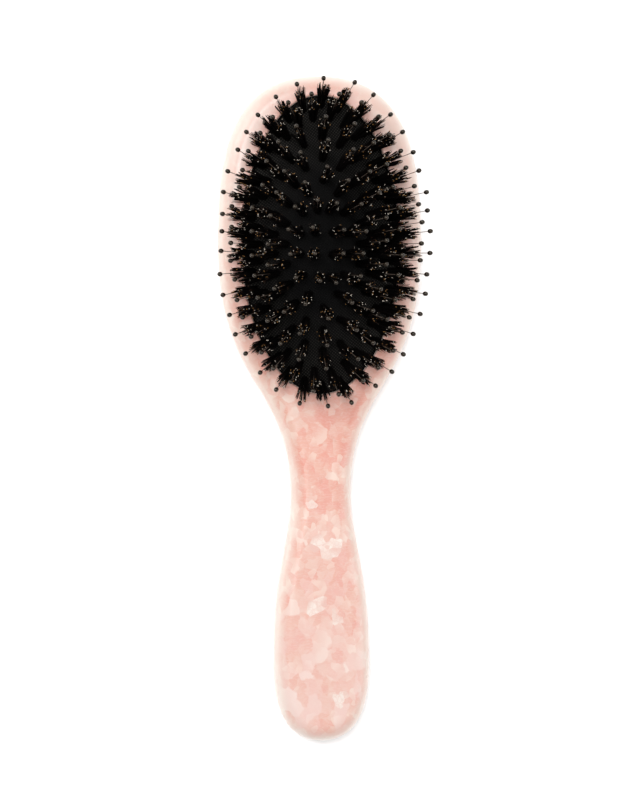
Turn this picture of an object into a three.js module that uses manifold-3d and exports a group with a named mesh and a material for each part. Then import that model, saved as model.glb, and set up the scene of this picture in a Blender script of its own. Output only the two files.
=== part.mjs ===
// Cushion hairbrush, lying on its back with the bristles up. Millimetres.
// X runs across the brush, +Y toward the top of the head, +Z up out of the bristles.
// The origin is on the back's flat face, straight under the middle of the cushion.
import * as THREE from "three";
import { ConvexHull } from "three/addons/math/ConvexHull.js";
import { mergeVertices } from "three/addons/utils/BufferGeometryUtils.js";
import Module from "manifold-3d";

// ---- body: one piece of cellulose acetate, flat in front and behind, all edges rounded ----
const THICK = 14;
const EDGE_IN = 5.5; // the rounding seen from the front
const EDGE_DOWN = 5.6; // and seen from the side
const EDGE_STEPS = 4;
const OUTLINE_STEPS = 12;
const HEAD_TOP = 57.1;
const HEAD = { half: 34.5, y: 0.7 };
const NECK = { half: 10.1, y: -84.5 };
const GRIP = { half: 16.2, y: -139.5 };
const GRIP_END = -168;

// ---- chamber under the cushion, with a groove that holds the cushion's flange ----
const OPENING = { a: 26.5, b: 50.1 };
const LIP = 1.6;
const LIP_ROUND = 0.4;
const GROOVE_IN = 1.8;
const GROOVE_HIGH = 2.2;
const SHELF_IN = 1; // the chamber is this much smaller than the opening
const FLOOR = 6.5;
const OVAL_STEPS = 40;

// ---- cushion: a rubber sheet domed by the air under it ----
const GAP = 0.3;
const RIM_Z = THICK - LIP - GAP;
const RIM = { a: OPENING.a - GAP, b: OPENING.b - GAP };
const DOME = 11;
const SHEET = 1.8;

// ---- bristles and pins, square to the cushion where they stand ----
const TUFT = { length: 13, root: 0.98, tip: 2.1, sides: 5 };
const TUFT_HOLE = 1.52; // in the cushion
const PIN = { length: 20.2, shaft: 0.28, ball: 0.88, ballLong: 2.1, sides: 4 };
const PIN_HOLE = 0.7; // down the middle of a tuft
const TUFT_BINDING = { top: -2.15, bottom: -2.85, wide: 2.1, bend: 1.15 };
const PIN_BINDING = { top: -3.15, bottom: -3.75, wide: 1, bend: 0.5 };

// Rings of tufts, from the edge inward. The two outer rings stand close together, each tuft of
// one between two of the other. phase is in steps from the top of the head.
const SIX = ["upper_right", "top", "upper_left", "lower_left", "bottom", "lower_right"];
const FOUR = ["right", "top", "left", "bottom"];
const TWO = ["right", "left"];
const RINGS = [
  { a: 23.2, b: 46.7, count: 38, phase: 0, arcs: SIX, turn: 0 },
  { a: 20.6, b: 42.4, count: 38, phase: 0.5, arcs: SIX, turn: 0 },
  { a: 15.8, b: 35.4, count: 26, phase: 0, arcs: FOUR, turn: 45 },
  { a: 12.1, b: 28.4, count: 20, phase: 0, arcs: FOUR, turn: 45 },
  { a: 7.5, b: 21.2, count: 14, phase: 0, arcs: FOUR, turn: 45 },
  { a: 2.9, b: 14, count: 8, phase: 0.5, arcs: TWO, turn: 90 },
];

const COLOURS = {
  acetate: "#edbcaf",
  rubber: "#1c1a1a",
  bristle: "#15110f",
  nylon: "#4a3a33",
};
const FINISH = {
  acetate: { roughness: 0.2, metalness: 0 },
  rubber: { roughness: 0.8, metalness: 0 },
  bristle: { roughness: 0.6, metalness: 0 },
  nylon: { roughness: 0.35, metalness: 0 },
};

const wasm = await Module();
wasm.setup();

function toSolid(geometry) {
  const bare = geometry.clone();
  bare.deleteAttribute("normal");
  bare.deleteAttribute("uv");
  const merged = mergeVertices(bare, 1e-4);
  const vertProperties = Float32Array.from(merged.attributes.position.array);
  const triVerts = Uint32Array.from(merged.index.array);
  return new wasm.Manifold(new wasm.Mesh({ numProp: 3, vertProperties, triVerts }));
}

function toGeometry(solid) {
  const mesh = solid.simplify(0.02).getMesh();
  const geometry = new THREE.BufferGeometry();
  geometry.setAttribute("position", new THREE.BufferAttribute(mesh.vertProperties, 3));
  geometry.setIndex(new THREE.BufferAttribute(mesh.triVerts, 1));
  geometry.computeVertexNormals();
  return geometry;
}

function named(name, solid, kind) {
  const material = new THREE.MeshStandardMaterial({ color: COLOURS[kind], ...FINISH[kind] });
  const mesh = new THREE.Mesh(toGeometry(solid), material);
  mesh.name = name;
  return mesh;
}

// A closed surface from quadrilaterals between loops of equal size, with a fan over each end.
function closedLoops(loops) {
  const size = loops[0].length;
  const points = loops.flat();
  const middle = (loop) => {
    const sum = loop.reduce((total, p) => total.add(p), new THREE.Vector3());
    return sum.divideScalar(loop.length);
  };
  points.push(middle(loops[0]), middle(loops[loops.length - 1]));
  const index = [];
  for (let row = 0; row + 1 < loops.length; row++) {
    for (let i = 0; i < size; i++) {
      const low = row * size + i;
      const lowNext = row * size + ((i + 1) % size);
      index.push(low, lowNext, lowNext + size, low, lowNext + size, low + size);
    }
  }
  const last = (loops.length - 1) * size;
  for (let i = 0; i < size; i++) {
    const next = (i + 1) % size;
    index.push(last + size, next, i);
    index.push(last + size + 1, last + i, last + next);
  }
  const geometry = new THREE.BufferGeometry().setFromPoints(points);
  geometry.setIndex(index);
  return geometry;
}

// A solid whose side is a stack of ovals, from the bottom one to the top one.
function ovalStack(ovals) {
  const loops = ovals.map(({ a, b, z }) => {
    const loop = [];
    for (let i = 0; i < OVAL_STEPS; i++) {
      const turn = (i / OVAL_STEPS) * 2 * Math.PI;
      loop.push(new THREE.Vector3(a * Math.cos(turn), b * Math.sin(turn), z));
    }
    return loop;
  });
  return toSolid(closedLoops(loops));
}

function grown(oval, by, z) {
  return { a: oval.a + by, b: oval.b + by, z };
}

// ---- body ----
function outline() {
  const shape = new THREE.Shape();
  const half = (side) => [
    [side * 29.5, HEAD_TOP, side * HEAD.half, 32, side * HEAD.half, HEAD.y],
    [side * HEAD.half, -48.4, side * NECK.half, -46, side * NECK.half, NECK.y],
    [side * NECK.half, -99, side * GRIP.half, -110, side * GRIP.half, GRIP.y],
    [side * GRIP.half, -148.5, side * GRIP.half, GRIP_END, 0, GRIP_END],
  ];
  shape.moveTo(0, HEAD_TOP);
  half(-1).forEach((curve) => shape.bezierCurveTo(...curve));
  // back up the right side: the same curves, end to start
  const right = half(1);
  for (let i = right.length - 1; i >= 0; i--) {
    const [ax, ay, bx, by] = right[i];
    const end = i === 0 ? [0, HEAD_TOP] : right[i - 1].slice(4);
    shape.bezierCurveTo(bx, by, ax, ay, ...end);
  }
  return shape;
}

function makeBody() {
  const slab = new THREE.ExtrudeGeometry(outline(), {
    depth: THICK - 2 * EDGE_DOWN,
    curveSegments: OUTLINE_STEPS,
    bevelEnabled: true,
    bevelSize: EDGE_IN,
    bevelOffset: -EDGE_IN,
    bevelThickness: EDGE_DOWN,
    bevelSegments: EDGE_STEPS,
  });
  slab.translate(0, 0, EDGE_DOWN);
  const grooveTop = THICK - LIP;
  const shelf = grooveTop - GROOVE_HIGH;
  const chamber = ovalStack([
    grown(OPENING, -SHELF_IN, FLOOR),
    grown(OPENING, -SHELF_IN, shelf),
    grown(OPENING, GROOVE_IN, shelf),
    grown(OPENING, GROOVE_IN, grooveTop),
    grown(OPENING, 0, grooveTop),
    grown(OPENING, 0, THICK - LIP_ROUND),
    grown(OPENING, LIP_ROUND, THICK),
    grown(OPENING, LIP_ROUND, THICK + 1),
  ]);
  return named("handle_body", toSolid(slab).subtract(chamber), "acetate");
}

// ---- cushion surface: height and outward direction over a point of the plan ----
function rise(x, y) {
  return DOME * (1 - (x / RIM.a) ** 2 - (y / RIM.b) ** 2);
}

function stand(x, y, along) {
  const up = new THREE.Vector3((2 * DOME * x) / RIM.a ** 2, (2 * DOME * y) / RIM.b ** 2, 1);
  return { foot: new THREE.Vector3(x, y, RIM_Z + rise(x, y)), up: up.normalize(), along };
}

function placed(geometry, place) {
  const turn = new THREE.Quaternion().setFromUnitVectors(new THREE.Vector3(0, 0, 1), place.up);
  geometry.applyQuaternion(turn);
  geometry.translate(...place.foot);
  return toSolid(geometry);
}

// ---- where the tufts stand ----
// Equal steps along an ellipse, counted from its top.
function ringPlaces({ a, b, count, phase }) {
  const fine = 2880;
  const turnAt = (i) => Math.PI / 2 + (i / fine) * 2 * Math.PI;
  const at = (i) => new THREE.Vector2(a * Math.cos(turnAt(i)), b * Math.sin(turnAt(i)));
  const run = [0];
  for (let i = 1; i <= fine; i++) run.push(run[i - 1] + at(i).distanceTo(at(i - 1)));
  const places = [];
  for (let k = 0; k < count; k++) {
    const i = run.findIndex((r) => r >= (run[fine] * (k + phase)) / count - 1e-9);
    const turn = turnAt(i);
    const along = new THREE.Vector3(-a * Math.sin(turn), b * Math.cos(turn), 0).normalize();
    const degrees = (turn * 180) / Math.PI;
    places.push({ ...stand(a * Math.cos(turn), b * Math.sin(turn), along), degrees });
  }
  return places;
}

// A ring falls into named arcs of equal angle, the first of which begins at -turn degrees.
function arcsOf(ring, number) {
  const places = ringPlaces(ring);
  const width = 360 / ring.arcs.length;
  const sector = ({ degrees }) =>
    Math.floor((degrees + ring.turn + 360 + 1e-6) / width) % ring.arcs.length;
  const first = places.findIndex((p, i) => sector(p) !== sector(places.at(i - 1)));
  const arcs = [];
  for (let k = 0; k < places.length; k++) {
    const place = places[(first + k) % places.length];
    const name = `${number}_${ring.arcs[sector(place)]}`;
    if (arcs.at(-1)?.name !== name) arcs.push({ name, places: [] });
    arcs.at(-1).places.push(place);
  }
  return arcs;
}

// The thin strip under the cushion that binds the feet of one arc together.
// It bends just short of each foot, so that every foot stands on a flat stretch.
function binding(places, { top, bottom, wide, bend }) {
  const loopAt = ({ foot, up, along }, shift) => {
    const side = new THREE.Vector3().crossVectors(up, along).normalize();
    const corner = (across, high) =>
      foot
        .clone()
        .addScaledVector(up, high)
        .addScaledVector(side, (across * wide) / 2)
        .addScaledVector(along, shift);
    return [corner(-1, bottom), corner(1, bottom), corner(1, top), corner(-1, top)];
  };
  const loops = places.map((place) => loopAt(place, -bend));
  loops.push(loopAt(places.at(-1), bend));
  return toSolid(closedLoops(loops));
}

// A piece turned round a stand's own axis, from a closed or an axis-to-axis profile.
function turned(place, profile, sides) {
  const piece = new THREE.LatheGeometry(
    profile.map(([r, z]) => new THREE.Vector2(r, z)),
    sides,
  );
  piece.rotateX(Math.PI / 2);
  return placed(piece, place);
}

function makeTufts({ name, places }) {
  const { bottom, top } = TUFT_BINDING;
  const foot = (bottom + top) / 2;
  const tuft = [
    [0, foot],
    [TUFT.root, foot],
    [TUFT.tip, TUFT.length],
    [0, TUFT.length],
  ];
  const bore = [
    [0, bottom - 1],
    [PIN_HOLE, bottom - 1],
    [PIN_HOLE, TUFT.length + 1],
    [0, TUFT.length + 1],
  ];
  let solid = binding(places, TUFT_BINDING);
  for (const p of places) {
    solid = solid.add(turned(p, tuft, TUFT.sides)).subtract(turned(p, bore, PIN.sides));
  }
  return named(`tufts_${name}`, solid, "bristle");
}

function makePin(place) {
  const { length, shaft, ball, ballLong, sides } = PIN;
  const foot = (PIN_BINDING.bottom + PIN_BINDING.top) / 2;
  const profile = [
    [0, foot],
    [shaft, foot],
    [shaft, length - ballLong],
    [ball, length - ballLong / 2],
    [0, length],
  ];
  return turned(place, profile, sides);
}

function makePins({ name, places }) {
  let solid = binding(places, PIN_BINDING);
  for (const p of places) solid = solid.add(makePin(p));
  return named(`pins_${name}`, solid, "nylon");
}

// The cushion's sheet, with a hole for each tuft. Its faces join the corners of the holes and
// of the rim as a Delaunay net, found from the hull of the same corners lifted to a paraboloid.
function makeCushion(arcs) {
  const corners = [];
  const holes = arcs.flatMap(({ places }) =>
    places.map(({ foot }) => {
      const hole = [];
      for (let i = 0; i < TUFT.sides; i++) {
        const turn = (i / TUFT.sides) * 2 * Math.PI;
        const x = foot.x + TUFT_HOLE * Math.sin(turn);
        const y = foot.y - TUFT_HOLE * Math.cos(turn);
        hole.push(corners.length);
        corners.push(stand(x, y));
      }
      return hole;
    }),
  );
  const rim = [];
  for (let i = 0; i < OVAL_STEPS; i++) {
    const turn = (i / OVAL_STEPS) * 2 * Math.PI;
    rim.push(corners.length);
    corners.push(stand(RIM.a * Math.cos(turn), RIM.b * Math.sin(turn)));
  }
  const upper = corners.map(({ foot }) => foot);
  const lower = corners.map(({ foot, up }) => foot.clone().addScaledVector(up, -SHEET));
  const count = upper.length;
  const points = [...upper, ...lower];
  const index = [];
  const quad = (a, b, c, d) => index.push(a, b, c, a, c, d);

  const lifted = upper.map(({ x, y }) => new THREE.Vector3(x, y, -(x * x + y * y) / RIM.b));
  const number = new Map(lifted.map((point, i) => [point, i]));
  const holeOf = (i) => (i < rim[0] ? Math.floor(i / TUFT.sides) : -1 - i);
  for (const { edge, normal } of new ConvexHull().setFromPoints(lifted).faces) {
    const [a, b, c] = [edge, edge.next, edge.next.next].map((e) => number.get(e.head().point));
    const inHole = holeOf(a) === holeOf(b) && holeOf(b) === holeOf(c);
    if (inHole || normal.z < 0) continue;
    index.push(a, b, c, a + count, c + count, b + count);
  }
  for (const hole of holes) {
    hole.forEach((i, k) => {
      const next = hole[(k + 1) % hole.length];
      quad(i, next, next + count, i + count);
    });
  }

  // the flange in the groove
  const flangeLow = THICK - LIP - GROOVE_HIGH + GAP;
  const flange = [
    grown(OPENING, GROOVE_IN - GAP, RIM_Z),
    grown(OPENING, GROOVE_IN - GAP, flangeLow),
    grown(RIM, -0.9, flangeLow),
  ];
  let loop = rim;
  for (const { a, b, z } of flange) {
    const next = rim.map((_, i) => points.length + i);
    for (let i = 0; i < OVAL_STEPS; i++) {
      const turn = (i / OVAL_STEPS) * 2 * Math.PI;
      points.push(new THREE.Vector3(a * Math.cos(turn), b * Math.sin(turn), z));
    }
    loop.forEach((from, i) => {
      const j = (i + 1) % OVAL_STEPS;
      quad(from, next[i], next[j], loop[j]);
    });
    loop = next;
  }
  loop.forEach((from, i) => {
    const j = (i + 1) % OVAL_STEPS;
    quad(from, rim[i] + count, rim[j] + count, loop[j]);
  });
  const sheet = new THREE.BufferGeometry().setFromPoints(points);
  sheet.setIndex(index);
  return named("cushion_pad", toSolid(sheet), "rubber");
}

const arcs = RINGS.flatMap((ring, i) => arcsOf(ring, i + 1));
const brush = new THREE.Group();
brush.add(makeBody(), makeCushion(arcs));
for (const arc of arcs) brush.add(makeTufts(arc), makePins(arc));
export default brush;
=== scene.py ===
import math
import random

import bpy
import numpy as np
from mathutils import Matrix, Vector
from mathutils.geometry import delaunay_2d_cdt


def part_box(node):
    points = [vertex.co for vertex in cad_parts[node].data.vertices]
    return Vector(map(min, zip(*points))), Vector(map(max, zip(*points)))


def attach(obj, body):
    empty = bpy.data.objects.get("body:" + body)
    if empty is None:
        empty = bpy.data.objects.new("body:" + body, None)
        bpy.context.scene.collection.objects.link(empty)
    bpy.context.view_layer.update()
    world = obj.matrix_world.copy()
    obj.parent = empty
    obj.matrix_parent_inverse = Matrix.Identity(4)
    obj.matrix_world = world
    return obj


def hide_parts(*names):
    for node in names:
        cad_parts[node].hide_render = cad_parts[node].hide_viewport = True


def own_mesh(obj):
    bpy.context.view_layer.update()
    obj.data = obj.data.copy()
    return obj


# A cushion hairbrush on its back, bristles up. Metres; X across, +Y to the top of the head.
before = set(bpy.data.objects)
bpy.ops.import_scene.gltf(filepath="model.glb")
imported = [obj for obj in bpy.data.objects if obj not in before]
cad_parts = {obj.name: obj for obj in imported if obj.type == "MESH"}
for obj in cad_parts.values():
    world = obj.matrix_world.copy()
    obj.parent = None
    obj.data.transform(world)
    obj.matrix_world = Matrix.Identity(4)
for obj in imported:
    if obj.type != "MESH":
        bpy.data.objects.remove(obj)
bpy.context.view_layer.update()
random.seed(21)

MM = 0.001
BODY_LOW, BODY_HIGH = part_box("handle_body")
_, PAD_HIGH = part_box("cushion_pad")

# ---- body ----
THICK = BODY_HIGH.z
HEAD_TOP = BODY_HIGH.y
GRIP_END = BODY_LOW.y
HEAD_HALF, HEAD_Y = BODY_HIGH.x, 0.7 * MM
NECK_HALF, NECK_Y = 10.1 * MM, -84.5 * MM
GRIP_HALF, GRIP_Y = 16.2 * MM, -139.5 * MM
EDGE_IN, EDGE_DOWN = 5.5 * MM, 5.6 * MM
EDGE_STEPS = 12
FLAT_MARGIN = 0.4 * MM  # a narrow flat band that keeps the shading of the faces true
CURVE_STEPS = 44

# ---- chamber and cushion ----
OPENING = (26.5 * MM, 50.1 * MM)
LIP, LIP_ROUND, LIP_STEPS = 1.6 * MM, 0.7 * MM, 6
GROOVE_IN, GROOVE_HIGH = 1.8 * MM, 2.2 * MM
SHELF_IN = 1 * MM
FLOOR = 6.5 * MM
GAP = 0.3 * MM
RIM_Z = THICK - LIP - GAP
RIM = (OPENING[0] - GAP, OPENING[1] - GAP)
DOME = PAD_HIGH.z - RIM_Z
SHEET = 1.8 * MM
OVAL_STEPS = 160
PAD_RINGS = 64
DIMPLE, DIMPLE_WIDE = 0.45 * MM, 1.15 * MM
COLLAR = 0.35 * DIMPLE  # the low ridge round each dimple

# ---- tufts and pins ----
TUFT_LENGTH = 13 * MM
TUFT_ROOT, TUFT_TIP = 1.15 * MM, 2.3 * MM
HAIRS, HAIR_THICK = 112, 0.24 * MM
STRANDS = 13  # the hairs of a tuft end in this many pointed strands
TIP_SHARES = (0.76, 0.12, 0.05, 0.07)  # of dark, brown, gold and pale tips
SPLAY = 1.06  # the tufts lean out a little more than the dome does
SUNK = 0.7 * MM  # how deep in the rubber the hairs and shafts begin
PIN_LENGTH = 20.2 * MM
SHAFT, BALL, BALL_LONG = 0.12 * MM, 0.8 * MM, 2.05 * MM
BALL_STEPS = 10
HAIR_SIDES, SHAFT_SIDES, BALL_SIDES = 3, 8, 12

GOLDEN_TURN = math.pi * (3 - math.sqrt(5))

# (half width, half length, tufts, steps from the top, arcs, degrees of turn, CAD zone)
SIX = ["upper_right", "top", "upper_left", "lower_left", "bottom", "lower_right"]
FOUR = ["right", "top", "left", "bottom"]
TWO = ["right", "left"]
RINGS = [
    (23.2 * MM, 46.7 * MM, 38, 0, SIX, 0, "zone_edge"),
    (20.6 * MM, 42.4 * MM, 38, 0.5, SIX, 0, "zone_outer"),
    (15.8 * MM, 35.4 * MM, 26, 0, FOUR, 45, "zone_middle"),
    (12.1 * MM, 28.4 * MM, 20, 0, FOUR, 45, "zone_inner"),
    (7.5 * MM, 21.2 * MM, 14, 0, FOUR, 45, "zone_crown"),
    (2.9 * MM, 14 * MM, 8, 0.5, TWO, 90, "zone_crown"),
]


# ================================ materials ================================
class Nodes:
    """A material and short ways to add nodes to it."""

    def __init__(self, name):
        self.material = bpy.data.materials.new(name)
        self.material.use_nodes = True
        self.tree = self.material.node_tree
        self.shader = self.tree.nodes["Principled BSDF"]

    def set(self, **values):
        for key, value in values.items():
            self.shader.inputs[key.replace("_", " ")].default_value = value

    def add(self, kind, inputs=None, **settings):
        node = self.tree.nodes.new(kind)
        for key, value in settings.items():
            setattr(node, key, value)
        for key, value in (inputs or {}).items():
            socket = node.inputs[key]
            if isinstance(value, bpy.types.NodeSocket):
                self.tree.links.new(value, socket)
            else:
                socket.default_value = value
        return node

    def link(self, out, key):
        self.tree.links.new(out, self.shader.inputs[key])

    def place(self, scale=(1, 1, 1), turn=(0, 0, 0)):
        at = self.add("ShaderNodeTexCoord").outputs["Object"]
        inputs = {"Vector": at, "Scale": scale, "Rotation": turn}
        return self.add("ShaderNodeMapping", inputs).outputs[0]

    def oval_share(self, halves):
        """How far out a place is: 0 at the middle of the cushion, 1 on the oval."""
        flat = self.place(scale=(1 / halves[0], 1 / halves[1], 0))
        node = self.add("ShaderNodeVectorMath", {0: flat}, operation="LENGTH")
        return node.outputs["Value"]

    def noise(self, at, scale, detail=2, rough=0.5):
        inputs = {"Vector": at, "Scale": scale, "Detail": detail, "Roughness": rough}
        return self.add("ShaderNodeTexNoise", inputs)

    def warped(self, at, scale, amount):
        """The place at, pushed about by a noise, which bends the lines of a pattern."""
        noise = self.noise(at, scale, 2).outputs["Color"]
        push = self.vector("SCALE", self.vector("SUBTRACT", noise, (0.5,) * 3), amount)
        return self.vector("ADD", at, push)

    def vector(self, operation, a, b, out=0):
        inputs = {0: a, 3 if operation == "SCALE" else 1: b}
        return self.add("ShaderNodeVectorMath", inputs, operation=operation).outputs[out]

    def cells(self, at, scale, feature="F1"):
        return self.add("ShaderNodeTexVoronoi", {"Vector": at, "Scale": scale}, feature=feature)

    def slant(self, at, cells):
        """A slope across each cell in a direction of its own, 0 at the cell's middle: a painted
        sheen, as if each chip's face were tilted to the light.
        """
        off = self.vector("SUBTRACT", at, cells.outputs["Position"])
        lean = self.vector("SUBTRACT", cells.outputs["Color"], (0.5,) * 3)
        return self.vector("DOT_PRODUCT", off, lean, "Value")

    def channel(self, colour, which):
        return self.add("ShaderNodeSeparateColor", {0: colour}).outputs[which]

    def ramp(self, factor, stops):
        node = self.add("ShaderNodeValToRGB", {0: factor})
        band = node.color_ramp
        while len(band.elements) < len(stops):
            band.elements.new(0.5)
        for element, (position, colour) in zip(band.elements, stops):
            element.position = position
            element.color = colour
        return node.outputs["Color"]

    def steps(self, factor, low, high):
        inputs = {"Value": factor, "From Min": low, "From Max": high}
        return self.add("ShaderNodeMapRange", inputs).outputs[0]

    def mix(self, factor, a, b):
        node = self.add("ShaderNodeMix", data_type="RGBA")
        for socket, value in zip((node.inputs[0], node.inputs[6], node.inputs[7]), (factor, a, b)):
            if isinstance(value, bpy.types.NodeSocket):
                self.tree.links.new(value, socket)
            else:
                socket.default_value = value
        return node.outputs[2]

    def maths(self, operation, a, b):
        return self.add("ShaderNodeMath", {0: a, 1: b}, operation=operation).outputs[0]

    def bump(self, height, strength, distance):
        inputs = {"Height": height, "Strength": strength, "Distance": distance}
        self.link(self.add("ShaderNodeBump", inputs).outputs[0], "Normal")


def srgb(text):
    """A linear colour from an sRGB one written as six hexadecimal digits."""
    parts = [int(text[i : i + 2], 16) / 255 for i in (0, 2, 4)]
    return tuple(p / 12.92 if p < 0.04 else ((p + 0.055) / 1.055) ** 2.4 for p in parts) + (1,)


# where the bright flakes lie, as shares of the body's half width and of the grip's length
# from the neck, with their radius; on the face and, less regularly, on the back
BRIGHT = [
    (-0.05, 0.2, THICK, 3.9 * MM),
    (0.24, 0.225, THICK, 3.3 * MM),
    (-0.12, 0.45, THICK, 4 * MM),
    (0.13, 0.49, THICK, 4.2 * MM),
    (0.39, 0.806, THICK, 3.5 * MM),
    (-0.3, 0.03, THICK, 1.9 * MM),
    (0.2, 0.35, 0, 5 * MM),
    (-0.2, 0.8, 0, 5.5 * MM),
    (0.1, -0.5, 0, 5 * MM),
    (-1.2, -1.1, 0, 6 * MM),
]
FLAKE_SCALE, FLAKE_FADE, FLAKE_SLANT = 300, 0.4 * MM, 620
CHIP_STRETCH, CHIP_WARP_SCALE, CHIP_SLANT = (1, 0.85, 1.3), 300, 1.1
# scale, turn, warp and softness of each layer of chips
LARGE_CHIPS = (225, (0.3, 0.2, 0.6), 0.003, 0.18)
SMALL_CHIPS = (400, (0.9, 0.5, 0.1), 0.0014, 0.06)
BROAD_CHIPS = (110, (0.5, 0.1, 0.9), 0.003, 0.3)
ACETATE_SHADE = 0.66  # every tone of the acetate is multiplied by this, to suit the lamps


def acetate_tone(text):
    return tuple(part * ACETATE_SHADE for part in srgb(text)[:3]) + (1,)


def chips(m, scale, turn, warp, soft):
    """One layer of angular chips: three random numbers for each, and a painted sheen that slants
    across it.
    """
    bent = m.warped(m.place(scale=CHIP_STRETCH, turn=turn), CHIP_WARP_SCALE, warp)
    cells = m.cells(bent, scale, "SMOOTH_F1")
    cells.inputs["Smoothness"].default_value = soft
    numbers = [m.channel(cells.outputs["Color"], k) for k in range(3)]
    return numbers, m.maths("MULTIPLY", m.slant(bent, cells), scale * CHIP_SLANT)


def bright_flakes(m):
    """1 on the small chips whose middles lie near one of the bright places, and their tone with a
    painted sheen slanting across each.
    """
    bent = m.warped(m.place(), 260, 0.003)
    cells = m.cells(bent, FLAKE_SCALE)
    chosen = 0
    for across, down, z, radius in BRIGHT:
        middle = (GRIP_HALF * across, NECK_Y + (GRIP_END - NECK_Y) * down, z)
        away = m.vector("DISTANCE", cells.outputs["Position"], middle, "Value")
        chosen = m.maths("MAXIMUM", chosen, m.steps(away, radius, radius - FLAKE_FADE))
    # painted sheen: a slope of tone across each bright flake, added to its random tone
    flake_tone_and_painted_sheen = m.maths("MULTIPLY", m.slant(bent, cells), FLAKE_SLANT)
    flake_tone_and_painted_sheen = m.maths("ADD", m.channel(cells.outputs["Color"], 0), flake_tone_and_painted_sheen)
    present = m.steps(m.channel(cells.outputs["Color"], 2), 0.12, 0.2)
    return m.maths("MULTIPLY", chosen, present), flake_tone_and_painted_sheen


def acetate_material():
    """Angular chips of pearly acetate, pressed together: pink to cream, a few nearly white."""
    m = Nodes("acetate")
    pinks = [
        (0.0, acetate_tone("E99B8A")),
        (0.25, acetate_tone("E9A592")),
        (0.5, acetate_tone("EBB3A1")),
        (0.72, acetate_tone("EDC3B3")),
        (0.95, acetate_tone("F5DBCC")),
    ]
    # each chip's tone slants across it: painted sheen, standing in for light on tilted flakes
    (shade, milky, _), slant = chips(m, *LARGE_CHIPS)
    large = m.ramp(m.maths("ADD", shade, m.maths("MULTIPLY", slant, 0.9)), pinks)
    (_, shade, shown), slant = chips(m, *SMALL_CHIPS)
    small = m.ramp(m.maths("ADD", shade, m.maths("MULTIPLY", slant, 0.9)), pinks)
    colour = m.mix(m.maths("MULTIPLY", m.steps(shown, 0.5, 0.55), 0.7), large, small)
    (shade, _, _), _ = chips(m, *BROAD_CHIPS)
    colour = m.mix(0.2, colour, m.ramp(shade, pinks))

    # deeper toward the neck and paler toward the end of the grip; round the head a painted
    # highlight makes it paler still
    along = m.add("ShaderNodeSeparateXYZ", {0: m.place()}).outputs[1]
    pale = m.steps(along, -0.07, -0.15)
    cream = m.maths("MULTIPLY", m.steps(milky, -0.25, 0.95), m.maths("MULTIPLY", pale, 0.78))
    colour = m.mix(cream, colour, acetate_tone("F6E1DA"))
    # painted highlight: the head and its rim are painted near white, as in strong light, and the
    # deeper patches fade there
    head_painted_highlight = m.steps(along, -0.045, 0.02)
    colour = m.mix(m.maths("MULTIPLY", head_painted_highlight, 0.72), colour, acetate_tone("F6DCD0"))
    cloud = m.noise(m.place(), 55, 2).outputs["Fac"]
    near = m.maths("SUBTRACT", 0.28, m.maths("MULTIPLY", head_painted_highlight, 0.25))
    colour = m.mix(m.maths("MULTIPLY", m.steps(cloud, 0.5, 0.7), near), colour,
                   acetate_tone("E79582"))

    # painted shade: the acetate is painted deeper round the opening, over the hollow behind the
    # lip
    lip_painted_shade = m.steps(m.oval_share(OPENING), 1.14, 1.0)
    colour = m.mix(m.maths("MULTIPLY", lip_painted_shade, 0.75), colour, acetate_tone("EFA693"))

    # silk inside the chips
    silk = m.noise(m.warped(m.place(scale=(1, 2.2, 1), turn=(0, 0, 0.7)), 200, 0.004),
                   900, 3, 0.55).outputs["Fac"]
    colour = m.mix(m.maths("MULTIPLY", m.steps(silk, 0.45, 0.7), 0.32), colour,
                   acetate_tone("F2D6CB"))
    chosen, flake_tone_and_painted_sheen = bright_flakes(m)
    bright = m.ramp(flake_tone_and_painted_sheen, [(0.0, acetate_tone("EBC3B7")), (0.4, acetate_tone("F1DACF")),
                           (0.9, acetate_tone("F9EFE6"))])
    crackle = m.cells(m.warped(m.place(), 500, 0.002), 620, feature="DISTANCE_TO_EDGE")
    lines = m.steps(crackle.outputs[0], 0.12, 0.0)
    bright = m.mix(m.maths("MULTIPLY", lines, 0.4), bright, acetate_tone("E9BDB0"))
    colour = m.mix(m.maths("MULTIPLY", chosen, 0.78), colour, bright)

    # painted highlight: the rounded edges are painted paler, for light through them and glare on
    # them
    facing = m.add("ShaderNodeSeparateXYZ", {0: m.add("ShaderNodeTexCoord").outputs["Normal"]})
    round_edge_painted_highlight = m.steps(m.maths("ABSOLUTE", facing.outputs[2], 0), 0.97, 0.6)
    colour = m.mix(m.maths("MULTIPLY", round_edge_painted_highlight, 0.52), colour, acetate_tone("FFF8EC"))
    m.link(colour, "Base Color")

    rough = m.steps(m.noise(m.place(), 160, 3).outputs["Fac"], -0.6, 2.6)
    m.link(rough, "Roughness")
    m.bump(m.noise(m.place(), 90, 2).outputs["Fac"], 0.04, 0.0006)
    m.set(IOR=1.46, Coat_Weight=0.3, Coat_Roughness=0.3)
    m.set(Sheen_Weight=0.3, Sheen_Roughness=0.4, Sheen_Tint=(1, 0.92, 0.88, 1))
    m.set(Subsurface_Weight=0.1, Subsurface_Scale=0.002)
    m.shader.inputs["Subsurface Radius"].default_value = (1, 0.45, 0.35)
    return m.material


CLOTH_PITCH = 0.75 * MM
WAVE_SCALE = 0.314  # a wave texture of this scale has one band to the metre


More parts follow.
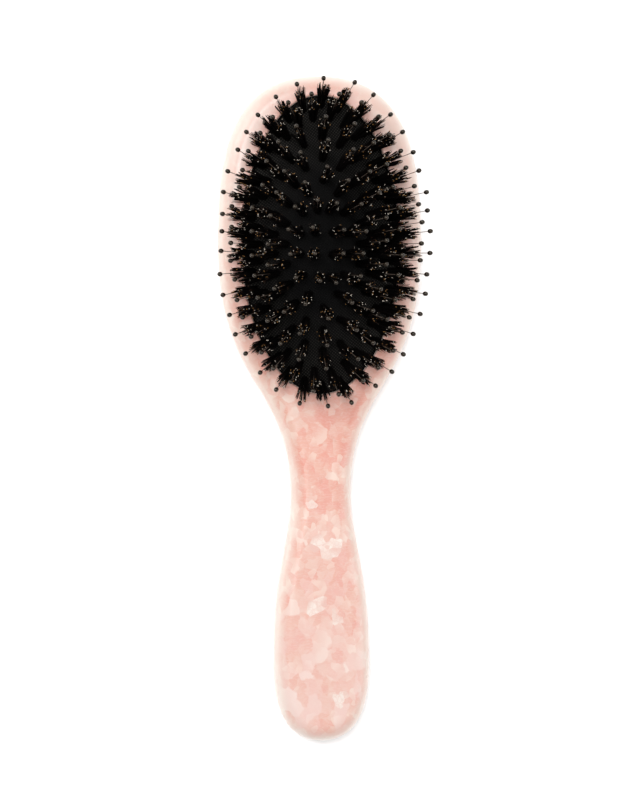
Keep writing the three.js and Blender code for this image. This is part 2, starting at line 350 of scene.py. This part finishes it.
def rubber_material():
    """Dark rubber with the print of a fine cloth that runs slantwise, painted lighter toward its
    rim and darker in the middle.
    """
    m = Nodes("rubber")
    ridges = []
    for degrees in (38, -52):
        at = m.place(turn=(0, 0, math.radians(degrees)))
        inputs = {"Vector": at, "Scale": WAVE_SCALE / CLOTH_PITCH, "Distortion": 0.25}
        inputs.update({"Detail": 1, "Detail Scale": 2})
        ridges.append(m.add("ShaderNodeTexWave", inputs).outputs["Fac"])
    weave = m.maths("MULTIPLY", ridges[0], ridges[1])
    cloud = m.noise(m.place(), 120, 3).outputs["Fac"]
    tint = m.mix(m.steps(cloud, 0.3, 0.75), srgb("050505"), srgb("090808"))
    # painted light and shade: the cloth's ridges are painted dark in the middle, where the tufts
    # shade them, and lighter toward the rim
    ridge = m.mix(m.steps(m.oval_share(RIM), 0.4, 0.9), srgb("0A0A0A"), srgb("302E2A"))
    colour = m.mix(m.steps(weave, 0.15, 0.8), tint, ridge)
    m.link(colour, "Base Color")
    m.link(m.steps(weave, 1.7, -0.9), "Roughness")
    m.bump(weave, 0.8, 0.0002)
    m.set(Specular_IOR_Level=0.05, Sheen_Weight=0.03, Sheen_Roughness=0.45)
    m.set(Sheen_Tint=(1, 0.98, 0.93, 1))
    return m.material


def hair_material(name, low, high, rough, specular):
    m = Nodes(name)
    streak = m.noise(m.place(scale=(1, 1, 0.25)), 2600, 2).outputs["Fac"]
    m.link(m.mix(m.steps(streak, 0.3, 0.7), srgb(low), srgb(high)), "Base Color")
    m.link(m.steps(streak, 0.3 - rough, 1.6 - rough), "Roughness")
    m.set(Specular_IOR_Level=specular)
    return m.material


def shaft_material():
    """Clear nylon, slightly smoky."""
    m = Nodes("shaft_nylon")
    cloud = m.noise(m.place(), 500, 2).outputs["Fac"]
    m.link(m.mix(m.steps(cloud, 0.3, 0.7), srgb("4E433B"), srgb("6A5E55")), "Base Color")
    m.link(m.steps(cloud, -0.6, 2.4), "Roughness")
    m.set(Transmission_Weight=0.45, IOR=1.5)
    return m.material


def ball_material():
    """The dark cap of each pin."""
    m = Nodes("ball_nylon")
    cloud = m.noise(m.place(), 420, 3).outputs["Fac"]
    m.link(m.mix(m.steps(cloud, 0.35, 0.7), srgb("0B0704"), srgb("1C130C")), "Base Color")
    m.link(m.steps(cloud, 0, 5), "Roughness")
    m.set(IOR=1.46, Specular_Tint=(1, 0.9, 0.76, 1))
    return m.material


# ================================ mesh helpers ================================
def make_object(name, points, faces, materials, indices=None, sharp=None):
    mesh = bpy.data.meshes.new(name)
    mesh.from_pydata([tuple(p) for p in points], [], faces)
    for material in materials:
        mesh.materials.append(material)
    if indices is not None:
        mesh.polygons.foreach_set("material_index", indices)
    mesh.shade_smooth()
    if sharp is not None:
        mesh.set_sharp_from_angle(angle=math.radians(sharp))
    mesh.update()
    obj = bpy.data.objects.new(name, mesh)
    bpy.context.scene.collection.objects.link(obj)
    return obj


def bridge(faces, lower, upper):
    """Quadrilaterals from one loop of point numbers to the next, facing out if anticlockwise."""
    size = len(lower)
    for i in range(size):
        j = (i + 1) % size
        faces.append((lower[i], lower[j], upper[j], upper[i]))


def net(loop_points, hole_points=()):
    """Triangles, anticlockwise, over the flat region between a loop and a hole in it."""
    count, hole = len(loop_points), len(hole_points)
    every = [Vector(p[:2]) for p in [*loop_points, *hole_points]]
    edges = [(i, (i + 1) % count) for i in range(count)]
    edges += [(count + i, count + (i + 1) % hole) for i in range(hole)]
    _, _, triangles, origin, _, _ = delaunay_2d_cdt(every, edges, [], 0, 1e-9)
    made = []
    for triangle in triangles:
        t = [origin[i][0] for i in triangle]
        a, b, c = (every[i] for i in t)
        mid = (a + b + c) / 3
        if not within(mid, every[:count]) or (hole and within(mid, every[count:])):
            continue
        turn = (b - a).cross(c - a)
        made.append(tuple(t) if turn > 0 else tuple(reversed(t)))
    return made


def within(point, loop):
    inside = False
    for i, a in enumerate(loop):
        b = loop[i - 1]
        if (a.y > point.y) != (b.y > point.y):
            if point.x < (b.x - a.x) * (point.y - a.y) / (b.y - a.y) + a.x:
                inside = not inside
    return inside


def oval(a, b, z):
    turns = [i / OVAL_STEPS * 2 * math.pi for i in range(OVAL_STEPS)]
    return [Vector((a * math.cos(t), b * math.sin(t), z)) for t in turns]


# ================================ body ================================
def outline():
    """The edge of the body, anticlockwise from the top: four cubic curves on each side."""
    curves = [
        ((0, HEAD_TOP), (29.5 * MM, HEAD_TOP), (HEAD_HALF, 32 * MM), (HEAD_HALF, HEAD_Y)),
        ((HEAD_HALF, HEAD_Y), (HEAD_HALF, -48.4 * MM), (NECK_HALF, -46 * MM),
         (NECK_HALF, NECK_Y)),
        ((NECK_HALF, NECK_Y), (NECK_HALF, -99 * MM), (GRIP_HALF, -110 * MM),
         (GRIP_HALF, GRIP_Y)),
        ((GRIP_HALF, GRIP_Y), (GRIP_HALF, -148.5 * MM), (GRIP_HALF, GRIP_END),
         (0, GRIP_END)),
    ]
    side = []
    for a, b, c, d in curves:
        for i in range(CURVE_STEPS):
            t = i / CURVE_STEPS
            weights = ((1 - t) ** 3, 3 * t * (1 - t) ** 2, 3 * t * t * (1 - t), t**3)
            x, y = (sum(w * p[k] for w, p in zip(weights, (a, b, c, d))) for k in (0, 1))
            side.append((x, y))
    side.append((0, GRIP_END))
    down_left = [Vector((-x, y)) for x, y in side]
    up_right = [Vector((x, y)) for x, y in reversed(side[1:-1])]
    return down_left + up_right


def inset(loop, by):
    """The loop moved inward by a distance, square to itself."""
    moved = []
    for i, p in enumerate(loop):
        along = (loop[(i + 1) % len(loop)] - loop[i - 1]).normalized()
        moved.append(p + Vector((-along.y, along.x)) * by)
    return moved


def make_body():
    edge = outline()
    profile = [(EDGE_IN + FLAT_MARGIN, 0)]
    for k in range(EDGE_STEPS + 1):
        turn = k / EDGE_STEPS * math.pi / 2
        profile.append((EDGE_IN * (1 - math.sin(turn)), EDGE_DOWN * (1 - math.cos(turn))))
    profile += [(d, THICK - z) for d, z in reversed(profile)]
    loops = [[Vector((*p, z)) for p in inset(edge, d)] for d, z in profile]
    points = [p for loop in loops for p in loop]
    size = len(edge)
    numbers = [list(range(k * size, (k + 1) * size)) for k in range(len(loops))]
    faces = []
    for lower, upper in zip(numbers, numbers[1:]):
        bridge(faces, lower, upper)
    faces += [tuple(reversed(t)) for t in net(loops[0])]

    # the hole, from its rounded lip down to the floor of the chamber
    def grown(by, z):
        return oval(OPENING[0] + by, OPENING[1] + by, z)

    groove_top = THICK - LIP
    shelf = groove_top - GROOVE_HIGH
    hole = [grown(LIP_ROUND + FLAT_MARGIN / 2, THICK)]
    for k in range(LIP_STEPS + 1):
        turn = k / LIP_STEPS * math.pi / 2
        out, down = LIP_ROUND * (1 - math.sin(turn)), LIP_ROUND * (1 - math.cos(turn))
        hole.append(grown(out, THICK - down))
    hole += [
        grown(0, groove_top),
        grown(GROOVE_IN, groove_top),
        grown(GROOVE_IN, shelf),
        grown(-SHELF_IN, shelf),
        grown(-SHELF_IN, FLOOR),
    ]
    first = len(points)
    top = numbers[-1]
    for triangle in net(loops[-1], hole[0]):
        faces.append(tuple(top[i] if i < size else first + i - size for i in triangle))
    for loop in hole:
        points += loop
    rows = [list(range(first + k * OVAL_STEPS, first + (k + 1) * OVAL_STEPS))
            for k in range(len(hole))]
    for upper, lower in zip(rows, rows[1:]):
        bridge(faces, upper, lower)
    faces.append(tuple(rows[-1]))
    body = make_object("acetate_body", points, faces, [acetate_material()], sharp=40)
    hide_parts("handle_body")
    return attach(body, "handle")


# ================================ where tufts stand ================================
def rise(x, y):
    return DOME * (1 - (x / RIM[0]) ** 2 - (y / RIM[1]) ** 2)


def upward(x, y):
    lean = 2 * DOME * SPLAY
    return Vector((lean * x / RIM[0] ** 2, lean * y / RIM[1] ** 2, 1)).normalized()


def ring_places(a, b, count, phase):
    """Equal steps along an ellipse, anticlockwise from its top: (x, y, degrees)."""
    turns = math.pi / 2 + np.linspace(0, 2 * math.pi, 2881)
    x, y = a * np.cos(turns), b * np.sin(turns)
    run = np.concatenate([[0], np.cumsum(np.hypot(np.diff(x), np.diff(y)))])
    wanted = run[-1] * (np.arange(count) + phase) / count
    at = np.interp(wanted, run, turns)
    return [(a * math.cos(t), b * math.sin(t), math.degrees(t)) for t in at]


def arcs():
    """{arc name: (zone, places)} under the names of the CAD's nodes."""
    made = {}
    for number, (a, b, count, phase, names, turn, zone) in enumerate(RINGS, 1):
        width = 360 / len(names)
        for x, y, degrees in ring_places(a, b, count, phase):
            name = names[int((degrees + turn + 360 + 1e-6) // width) % len(names)]
            made.setdefault(f"{number}_{name}", (zone, []))[1].append((x, y))
    return made


# ================================ cushion ================================
def make_pad(places):
    """A domed sheet, puckered down round each tuft, with its flange in the groove."""
    stands = np.array(places)

    def on_top(x, y):
        near = np.hypot(stands[:, 0] - x, stands[:, 1] - y)
        dip = DIMPLE * np.exp(-((near / DIMPLE_WIDE) ** 2)).max()
        collar = COLLAR * np.exp(-(((near - 2 * DIMPLE_WIDE) / DIMPLE_WIDE) ** 2)).max()
        return Vector((x, y, RIM_Z + rise(x, y) - dip + collar))

    points = [on_top(0, 0)]
    rows = []
    for k in range(1, PAD_RINGS + 1):
        # the rings of points crowd a little toward the rim
        share = math.sin(k / PAD_RINGS * math.pi / 2) ** 0.9
        rows.append(list(range(len(points), len(points) + OVAL_STEPS)))
        points += [on_top(p.x, p.y) for p in oval(RIM[0] * share, RIM[1] * share, 0)]
    for i in rows[-1]:
        points[i].z = RIM_Z
    flange_low = THICK - LIP - GROOVE_HIGH + GAP
    flange = [
        oval(OPENING[0] + GROOVE_IN - GAP, OPENING[1] + GROOVE_IN - GAP, RIM_Z),
        oval(OPENING[0] + GROOVE_IN - GAP, OPENING[1] + GROOVE_IN - GAP, flange_low),
        oval(RIM[0] - 0.9 * MM, RIM[1] - 0.9 * MM, flange_low),
    ]
    for share in (0.96, 0.8, 0.6, 0.4, 0.2):
        a, b = (RIM[0] - SHEET) * share, (RIM[1] - SHEET) * share
        flange.append([Vector((p.x, p.y, RIM_Z + rise(p.x, p.y) - SHEET)) for p in oval(a, b, 0)])
    for loop in flange:
        rows.append(list(range(len(points), len(points) + OVAL_STEPS)))
        points += loop
    points.append(Vector((0, 0, RIM_Z + DOME - SHEET)))
    faces = [(0, rows[0][i], rows[0][(i + 1) % OVAL_STEPS]) for i in range(OVAL_STEPS)]
    for inner, outer in zip(rows, rows[1:]):
        bridge(faces, outer, inner)
    last = len(points) - 1
    faces += [(last, rows[-1][(i + 1) % OVAL_STEPS], rows[-1][i]) for i in range(OVAL_STEPS)]
    pad = make_object("rubber_pad", points, faces, [rubber_material()], sharp=50)
    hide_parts("cushion_pad")
    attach(pad, "handle")
    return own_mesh(pad)


# ================================ tufts and pins ================================
def tube(points, faces, indices, path, radii, sides, material_of):
    """A closed tube along a path; material_of gives the material of each stretch."""
    start = len(points)
    axis = (path[-1] - path[0]).normalized()
    side = axis.orthogonal().normalized()
    across = axis.cross(side)
    for centre, radius in zip(path, radii):
        for k in range(sides):
            turn = k / sides * 2 * math.pi
            points.append(centre + radius * (math.cos(turn) * side + math.sin(turn) * across))
    for row in range(len(path) - 1):
        low = list(range(start + row * sides, start + (row + 1) * sides))
        bridge(faces, low, [i + sides for i in low])
        indices += [material_of(row)] * sides
    faces.append(tuple(reversed(range(start, start + sides))))
    end = start + (len(path) - 1) * sides
    faces.append(tuple(range(end, end + sides)))
    indices += [material_of(0), material_of(len(path) - 2)]


def make_tuft(points, faces, indices, x, y):
    up = upward(x, y)
    foot = Vector((x, y, RIM_Z + rise(x, y)))
    lean = Vector((random.gauss(0, 0.03), random.gauss(0, 0.03), 0))
    axis = (up + lean).normalized()
    side = axis.orthogonal().normalized()
    across = axis.cross(side)
    tall = TUFT_LENGTH * random.uniform(0.96, 1.04)

    def outward(share, turn):
        return (math.cos(turn) * side + math.sin(turn) * across) * share

    strands = []
    for k in range(STRANDS):
        share = math.sqrt((k + 0.5) / STRANDS)
        wander = Vector([random.gauss(0, 0.22 * MM) for _ in range(3)])
        middle = outward(share, k * GOLDEN_TURN + random.uniform(-0.4, 0.4))
        strands.append((middle, wander, random.uniform(-0.1, 0.02)))
    for k in range(HAIRS):
        turn = k * GOLDEN_TURN + random.uniform(-0.3, 0.3)
        root = outward(math.sqrt((k + 0.5) / HAIRS), turn)
        middle, wander, short = min(strands, key=lambda strand: (strand[0] - root).length)
        length = tall * (1 + short - abs(random.gauss(0, 0.06)))
        gather = random.uniform(0.25, 0.75)
        tip_at = root.lerp(middle, gather) * TUFT_TIP + wander
        stray = Vector([random.gauss(0, 0.14 * MM) for _ in range(3)])
        tip_part = random.uniform(0.25, 0.6) * MM / length
        path = []
        for t in (-SUNK / length, 0.3, 0.65, 1 - tip_part, 1):
            out = (root * TUFT_ROOT).lerp(tip_at + stray, max(t, 0) ** 1.4)
            path.append(foot + axis * (t * length) + out)
        thick = HAIR_THICK / 2 * random.uniform(0.8, 1.15)
        tip = random.choices(range(4), TIP_SHARES)[0]
        split = 1.1 if tip > 1 else 0.45  # the pale tips are split and frayed
        radii = [thick, thick, thick * 0.9, thick * 0.75, thick * split]
        tube(points, faces, indices, path, radii, HAIR_SIDES, lambda row: tip if row == 3 else 0)


def make_pin(points, faces, indices, x, y):
    up = upward(x, y)
    foot = Vector((x, y, RIM_Z + rise(x, y)))
    axis = (up + Vector((random.gauss(0, 0.022), random.gauss(0, 0.022), 0))).normalized()
    length = PIN_LENGTH * (1 + max(-0.04, min(0.015, random.gauss(-0.005, 0.015))))
    neck = length - BALL_LONG * 0.93
    path = [foot - axis * SUNK, foot + axis * neck * 0.5, foot + axis * neck]
    thick = [SHAFT * 1.15, SHAFT, SHAFT]
    tube(points, faces, indices, path, thick, SHAFT_SIDES, lambda row: 0)
    middle = length - BALL_LONG / 2
    path, radii = [], []
    for k in range(BALL_STEPS + 1):
        turn = math.pi * (0.06 + 0.88 * k / BALL_STEPS)
        path.append(foot + axis * (middle - math.cos(turn) * BALL_LONG / 2))
        radii.append(BALL * math.sin(turn) ** 0.9)
    tube(points, faces, indices, path, radii, BALL_SIDES, lambda row: 1)


def make_arc(name, zone, places, hair, pins):
    for kind, part, materials, slot in (
        ("hair", make_tuft, hair, "bristle"),
        ("pin", make_pin, pins, "nylon"),
    ):
        points, faces, indices = [], [], []
        for x, y in places:
            part(points, faces, indices, x, y)
        obj = make_object(f"{kind}_{name}", points, faces, materials, indices, sharp=60)
        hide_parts(f"{'tufts' if kind == 'hair' else 'pins'}_{name}")
        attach(obj, zone)


# ================================ the brush ================================
make_body()
brush_arcs = arcs()
make_pad([place for _, places in brush_arcs.values() for place in places])
hair = [
    hair_material("hair_dark", "040303", "0D0908", 0.6, 0.08),
    hair_material("hair_brown", "3A261B", "5A3D2A", 0.6, 0.3),
    hair_material("hair_gold", "8A6237", "B98A52", 0.5, 0.35),
    hair_material("hair_pale", "CDBFAE", "EDE6DA", 0.5, 0.35),
]
pins = [shaft_material(), ball_material()]
for name, (zone, places) in brush_arcs.items():
    make_arc(name, zone, places, hair, pins)

# ================================ studio ================================
CENTRE = Vector((0, (HEAD_TOP + GRIP_END) / 2 + 3 * MM, THICK / 2))
FLOOR_HALF = 2
FLOOR_DROP = 0.2 * MM
WORLD_STRENGTH = 0.62
# name, place, size and power in watts
LAMPS = [
    ("key", (-0.85, 0.55, 0.75), (0.6, 0.9), 8.8),
    ("fill", (0.95, -0.2, 0.75), (0.9, 1.2), 6),
    ("top", (-0.16, 0.18, 1.12), (0.4, 0.4), 7.5),
]


def paper_material():
    m = Nodes("floor_paper")
    cloud = m.noise(m.place(), 3, 2).outputs["Fac"]
    tone = m.mix(m.maths("MULTIPLY", cloud, 0.02), (0.96, 0.96, 0.96, 1), (1, 1, 1, 1))
    m.link(tone, "Base Color")
    m.set(Roughness=0.9, Specular_IOR_Level=0.1)
    return m.material


corners = [(-1, -1), (1, -1), (1, 1), (-1, 1)]
points = [(x * FLOOR_HALF, y * FLOOR_HALF, -FLOOR_DROP) for x, y in corners]
make_object("floor", points, [(0, 1, 2, 3)], [paper_material()])

world = bpy.data.worlds.new("studio")
bpy.context.scene.world = world
world.use_nodes = True
world.node_tree.nodes["Background"].inputs["Color"].default_value = (1, 1, 1, 1)
world.node_tree.nodes["Background"].inputs["Strength"].default_value = WORLD_STRENGTH

for name, place, size, power in LAMPS:
    lamp = bpy.data.lights.new(name, "AREA")
    lamp.shape = "RECTANGLE"
    lamp.size, lamp.size_y = size
    lamp.energy = power
    obj = bpy.data.objects.new(name, lamp)
    obj.location = place
    obj.rotation_euler = (CENTRE - Vector(place)).to_track_quat("-Z", "Y").to_euler()
    bpy.context.scene.collection.objects.link(obj)

# ================================ camera ================================
CAMERA_AWAY = 0.9
LEAN_X, LEAN_Y = math.radians(-5), math.radians(1.2)
ROLL = math.radians(0.25)
AIM = Vector((0, -52.4 * MM, THICK / 2))
VIEW_TALL = 0.2715
SENSOR = 36

camera_data = bpy.data.cameras.new("camera")
camera_data.sensor_width = SENSOR
camera_data.lens = SENSOR * CAMERA_AWAY / VIEW_TALL
camera = bpy.data.objects.new("camera", camera_data)
away = Vector((math.sin(LEAN_X), math.sin(LEAN_Y), 1)).normalized()
camera.location = AIM + away * CAMERA_AWAY
right = Vector((0, 1, 0)).cross(away).normalized()
up = away.cross(right)
across = right * math.cos(ROLL) - up * math.sin(ROLL)
upright = up * math.cos(ROLL) + right * math.sin(ROLL)
camera.rotation_euler = Matrix((across, upright, away)).transposed().to_euler()
bpy.context.scene.collection.objects.link(camera)
bpy.context.scene.camera = camera
bpy.context.scene.view_settings.view_transform = "Standard"
